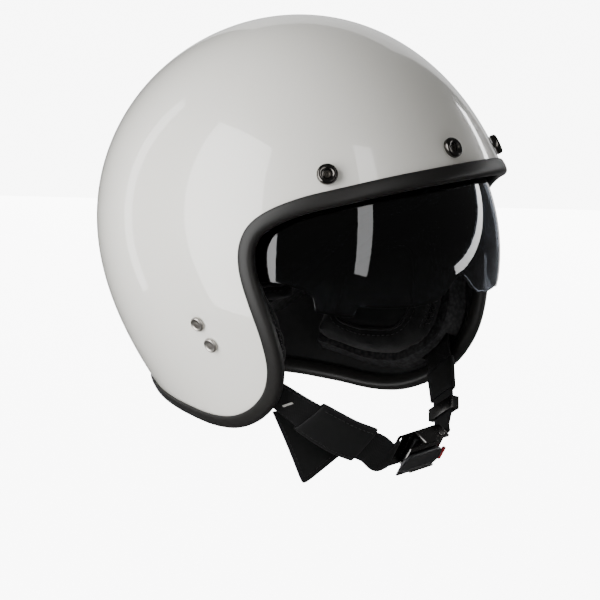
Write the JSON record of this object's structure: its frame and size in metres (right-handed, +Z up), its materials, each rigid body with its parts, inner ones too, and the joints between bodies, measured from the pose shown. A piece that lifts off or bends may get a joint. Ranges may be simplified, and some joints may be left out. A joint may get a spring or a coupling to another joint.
{
  "type": "open-face motorcycle helmet",
  "caption": "Open-face motorcycle helmet with a gloss shell, a smoke drop-down sun visor, brow snaps, a rubber edge trim, a padded lining and a ratchet-buckle chin strap",
  "frame": {"origin": "the middle of the head cavity, at temple height, on the helmet's plane of symmetry", "axes": "+Z up, -Y the way the wearer looks, +X towards the wearer's left"},
  "size_m": [0.2536, 0.2808, 0.2993],
  "materials": {
    "shell": "gloss",
    "trim_rubber": "satin",
    "foam": "matte",
    "lining": "matte",
    "webbing": "matte",
    "visor": "gloss",
    "dark_chrome": "polished",
    "nickel": "satin",
    "steel": "satin",
    "washer_rubber": "matte",
    "black_plastic": "satin",
    "red_plastic": "satin"
  },
  "bodies": {
    "helmet": {"outer_shell": "shell", "edge_trim": "trim_rubber", "snap_socket_centre": "dark_chrome", "snap_spring_centre": "steel", "snap_rivet_centre": "nickel", "snap_washer_centre": "steel", "snap_socket_right": "dark_chrome", "snap_spring_right": "steel", "snap_rivet_right": "nickel", "snap_washer_right": "steel", "snap_socket_left": "dark_chrome", "snap_spring_left": "steel", "snap_rivet_left": "nickel", "snap_washer_left": "steel", "strap_rivet_right_upper": "nickel", "strap_rivet_right_lower": "nickel", "strap_anchor_plate_right": "steel", "strap_rivet_left_upper": "nickel", "strap_rivet_left_lower": "nickel", "strap_anchor_plate_left": "steel", "visor_pivot_base_right": "black_plastic", "visor_friction_washer_right": "washer_rubber", "visor_pivot_screw_right": "steel", "visor_pivot_base_left": "black_plastic", "visor_friction_washer_left": "washer_rubber", "visor_pivot_screw_left": "steel", "foam_liner": "foam", "crown_pad": "lining", "neck_roll": "lining", "strap_webbing_right": "webbing", "cheek_foam_right": "foam", "cheek_pad_right": "lining", "strap_webbing_left": "webbing", "cheek_foam_left": "foam", "cheek_pad_left": "lining", "strap_sleeve_right": "lining", "strap_sleeve_left": "lining", "strap_cover_flap": "lining", "buckle_frame": "steel", "buckle_pin": "steel", "buckle_spring": "steel", "strap_slider": "steel"},
    "visor": {"visor_lens": "visor"},
    "lever": {"buckle_lever": "steel", "buckle_lever_pad": "black_plastic", "release_tab": "red_plastic"},
    "tongue": {"ratchet_tongue": "black_plastic"}
  },
  "joints": [
    {"name": "visor_swing", "type": "hinge", "parent": "helmet", "child": "visor", "pos_m": [0, -0.0064, -0.0135], "axis": [-1, 0, 0], "range_deg": [0, 42]},
    {"name": "buckle_lever_swing", "type": "hinge", "parent": "helmet", "child": "lever", "pos_m": [0.04062, -0.07517, -0.14495], "axis": [-0.0417, -0.551, 0.8335], "range_deg": [0, 45], "stiffness_Nm_per_rad": 0.02, "springref_deg": -20.05},
    {"name": "tongue_slide", "type": "slide", "parent": "helmet", "child": "tongue", "axis": [-0.9988, 0, -0.0499], "range_m": [0, 0.01]}
  ]
}
